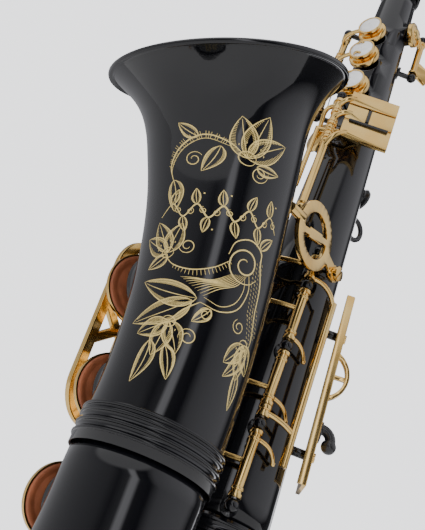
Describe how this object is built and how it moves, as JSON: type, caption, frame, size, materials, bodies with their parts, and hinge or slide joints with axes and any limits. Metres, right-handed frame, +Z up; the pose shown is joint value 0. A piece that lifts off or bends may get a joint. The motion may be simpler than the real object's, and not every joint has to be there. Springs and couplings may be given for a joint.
{
  "type": "alto saxophone",
  "caption": "Curved alto saxophone: black lacquered body, bow and engraved bell, gilt keys with leather pads, guards, brace, neck with mouthpiece, strap ring.",
  "frame": {"origin": "centre of the strap ring's hole, behind the body tube", "axes": "+Z up along the body tube towards the neck; -Y the way the bell faces; +X the player's left hand side"},
  "size_m": [0.125, 0.3519, 0.6332],
  "materials": {
    "black_lacquer": "glossy black lacquer over brass",
    "gilt_brass": "polished, clear gold lacquer",
    "pad_leather": "smooth brown pad leather",
    "pearl": "polished pearl",
    "steel": "blued hinge steel",
    "black_plastic": "moulded black",
    "felt": "felt",
    "cork": "cork",
    "ebonite": "polished hard rubber",
    "reed_cane": "raw cane"
  },
  "bodies": {
    "horn": {"body_tube": "black_lacquer", "bow": "black_lacquer", "bell": "black_lacquer", "bell_ring": "black_lacquer", "bow_ring": "black_lacquer", "posts": "black_lacquer", "hinge_rods": "steel", "bell_brace": "gilt_brass", "brace_socket": "black_lacquer", "brace_screw": "gilt_brass", "strap_ring": "black_lacquer", "back_guard": "gilt_brass", "guard_posts": "black_lacquer", "guard_screws": "gilt_brass", "thumb_hook": "black_plastic", "thumb_rest": "black_plastic", "bell_key_guard": "gilt_brass", "guard_felts": "felt", "neck_receiver": "black_lacquer"},
    "f": {"f_key": "gilt_brass", "f_pad": "pad_leather", "f_pearl": "pearl"},
    "f_sharp": {"f_sharp_key": "gilt_brass", "f_sharp_pad": "pad_leather"},
    "e": {"e_key": "gilt_brass", "e_pad": "pad_leather", "e_pearl": "pearl"},
    "d": {"d_key": "gilt_brass", "d_pad": "pad_leather", "d_pearl": "pearl"},
    "g": {"g_key": "gilt_brass", "g_pad": "pad_leather", "g_pearl": "pearl"},
    "a": {"a_key": "gilt_brass", "a_pad": "pad_leather", "a_pearl": "pearl"},
    "b": {"b_key": "gilt_brass", "b_pearl": "pearl"},
    "g_sharp": {"g_sharp_key": "gilt_brass", "g_sharp_pad": "pad_leather"},
    "c_sharp_lever": {"c_sharp_lever": "gilt_brass"},
    "b_lever": {"b_lever": "gilt_brass"},
    "b_flat_lever": {"b_flat_lever": "gilt_brass"},
    "low_b_flat": {"low_b_flat_key": "gilt_brass", "low_b_flat_pad": "pad_leather"},
    "low_b": {"low_b_key": "gilt_brass", "low_b_pad": "pad_leather"},
    "low_c": {"low_c_key": "gilt_brass", "low_c_pad": "pad_leather"},
    "low_c_sharp": {"low_c_sharp_key": "gilt_brass"},
    "e_flat": {"e_flat_key": "gilt_brass"},
    "palm_d": {"palm_d_key": "gilt_brass"},
    "side_b_flat": {"side_b_flat_key": "gilt_brass"},
    "neck": {"neck": "black_lacquer", "neck_cork": "cork"},
    "neck_screw": {"neck_screw": "gilt_brass"},
    "mouthpiece": {"mouthpiece": "ebonite", "reed": "reed_cane", "ligature": "gilt_brass"},
    "neck_octave": {"neck_octave_key": "gilt_brass"}
  },
  "joints": [
    {"name": "f_swing", "type": "hinge", "parent": "horn", "child": "f", "pos_m": [0.01421, -0.05272, -0.0985], "axis": [0, 0, -1], "range_deg": [0, 6], "stiffness_Nm_per_rad": 0.15, "springref_deg": -14.32},
    {"name": "f_sharp_swing", "type": "hinge", "parent": "horn", "child": "f_sharp", "pos_m": [0.01421, -0.05272, -0.07], "axis": [0, 0, -1], "range_deg": [0, 6], "stiffness_Nm_per_rad": 0.15, "springref_deg": -14.32},
    {"name": "e_swing", "type": "hinge", "parent": "horn", "child": "e", "pos_m": [0.01421, -0.05272, -0.1475], "axis": [0, 0, -1], "range_deg": [0, 6], "stiffness_Nm_per_rad": 0.15, "springref_deg": -14.32},
    {"name": "d_swing", "type": "hinge", "parent": "horn", "child": "d", "pos_m": [0.01421, -0.05272, -0.1875], "axis": [0, 0, -1], "range_deg": [0, 6], "stiffness_Nm_per_rad": 0.15, "springref_deg": -14.32},
    {"name": "g_swing", "type": "hinge", "parent": "horn", "child": "g", "pos_m": [-0.02929, -0.04472, 0.0825], "axis": [0, 0, 1], "range_deg": [0, 8], "stiffness_Nm_per_rad": 0.15, "springref_deg": -14.32},
    {"name": "a_swing", "type": "hinge", "parent": "horn", "child": "a", "pos_m": [-0.02929, -0.04472, 0.1145], "axis": [0, 0, 1], "range_deg": [0, 8], "stiffness_Nm_per_rad": 0.15, "springref_deg": -14.32},
    {"name": "b_swing", "type": "hinge", "parent": "horn", "child": "b", "pos_m": [-0.02929, -0.04472, 0.1415], "axis": [0, 0, 1], "range_deg": [0, 8], "stiffness_Nm_per_rad": 0.15, "springref_deg": -14.32},
    {"name": "g_sharp_swing", "type": "hinge", "parent": "horn", "child": "g_sharp", "pos_m": [-0.00429, -0.05872, 0.0395], "axis": [0, 0, 1], "range_deg": [0, 9], "stiffness_Nm_per_rad": 0.15, "springref_deg": -14.32},
    {"name": "c_sharp_lever_swing", "type": "hinge", "parent": "horn", "child": "c_sharp_lever", "pos_m": [-0.00429, -0.05872, 0.047], "axis": [0, 0, 1], "range_deg": [0, 8], "stiffness_Nm_per_rad": 0.15, "springref_deg": -14.32},
    {"name": "b_lever_swing", "type": "hinge", "parent": "horn", "child": "b_lever", "pos_m": [-0.00429, -0.05872, 0.0355], "axis": [0, 0, 1], "range_deg": [0, 8], "stiffness_Nm_per_rad": 0.15, "springref_deg": -14.32},
    {"name": "b_flat_lever_swing", "type": "hinge", "parent": "horn", "child": "b_flat_lever", "pos_m": [-0.00429, -0.05872, -0.001], "axis": [0, 0, 1], "range_deg": [0, 8], "stiffness_Nm_per_rad": 0.15, "springref_deg": -14.32},
    {"name": "low_b_flat_swing", "type": "hinge", "parent": "horn", "child": "low_b_flat", "pos_m": [-0.04529, -0.06522, -0.1215], "axis": [0, 0, 1], "range_deg": [0, 11], "stiffness_Nm_per_rad": 0.15, "springref_deg": -14.32},
    {"name": "low_b_swing", "type": "hinge", "parent": "horn", "child": "low_b", "pos_m": [-0.04529, -0.06522, -0.178], "axis": [0, 0, 1], "range_deg": [0, 11], "stiffness_Nm_per_rad": 0.15, "springref_deg": -14.32},
    {"name": "low_c_swing", "type": "hinge", "parent": "horn", "child": "low_c", "pos_m": [-0.04529, -0.06522, -0.2365], "axis": [0, 0, 1], "range_deg": [0, 11], "stiffness_Nm_per_rad": 0.15, "springref_deg": -14.32},
    {"name": "low_c_sharp_swing", "type": "hinge", "parent": "horn", "child": "low_c_sharp", "pos_m": [-0.04479, -0.04122, -0.2955], "axis": [0, 0, -1], "range_deg": [0, 9], "stiffness_Nm_per_rad": 0.15, "springref_deg": -14.32},
    {"name": "e_flat_swing", "type": "hinge", "parent": "horn", "child": "e_flat", "pos_m": [-0.02329, 0.00078, -0.1925], "axis": [0, 0, -1], "range_deg": [0, 9], "stiffness_Nm_per_rad": 0.15, "springref_deg": -14.32},
    {"name": "palm_d_swing", "type": "hinge", "parent": "horn", "child": "palm_d", "pos_m": [0.01371, -0.01022, 0.1655], "axis": [0, 0, 1], "range_deg": [0, 9], "stiffness_Nm_per_rad": 0.15, "springref_deg": -14.32},
    {"name": "side_b_flat_swing", "type": "hinge", "parent": "horn", "child": "side_b_flat", "pos_m": [-0.02229, -0.00322, 0.1005], "axis": [0, 0, -1], "range_deg": [0, 9], "stiffness_Nm_per_rad": 0.15, "springref_deg": -14.32},
    {"name": "neck_screw_turn", "type": "hinge", "parent": "horn", "child": "neck_screw", "pos_m": [-0.00062, -0.04554, 0.2345], "axis": [0.9397, 0.342, 0], "continuous": true},
    {"name": "neck_turn", "type": "hinge", "parent": "horn", "child": "neck", "pos_m": [-0.00729, -0.02722, 0.2415], "axis": [0, 0, 1], "range_deg": [-25, 25]},
    {"name": "mouthpiece_slide", "type": "slide", "parent": "neck", "child": "mouthpiece", "axis": [0.2563, 0.9565, -0.1392], "range_m": [-0.006, 0.012]},
    {"name": "neck_octave_swing", "type": "hinge", "parent": "neck", "child": "neck_octave", "pos_m": [-0.00622, -0.02323, 0.29208], "axis": [0.9659, -0.2588, 0], "range_deg": [0, 3], "stiffness_Nm_per_rad": 0.15, "springref_deg": -14.32}
  ],
  "couplings": [
    {"joint": "f_sharp_swing", "follows": "f_swing", "ratio": 1},
    {"joint": "low_b_flat_swing", "follows": "b_flat_lever_swing", "ratio": 1.375},
    {"joint": "low_b_swing", "follows": "b_lever_swing", "ratio": 1.375},
    {"joint": "low_c_sharp_swing", "follows": "c_sharp_lever_swing", "ratio": 1.125}
  ]
}
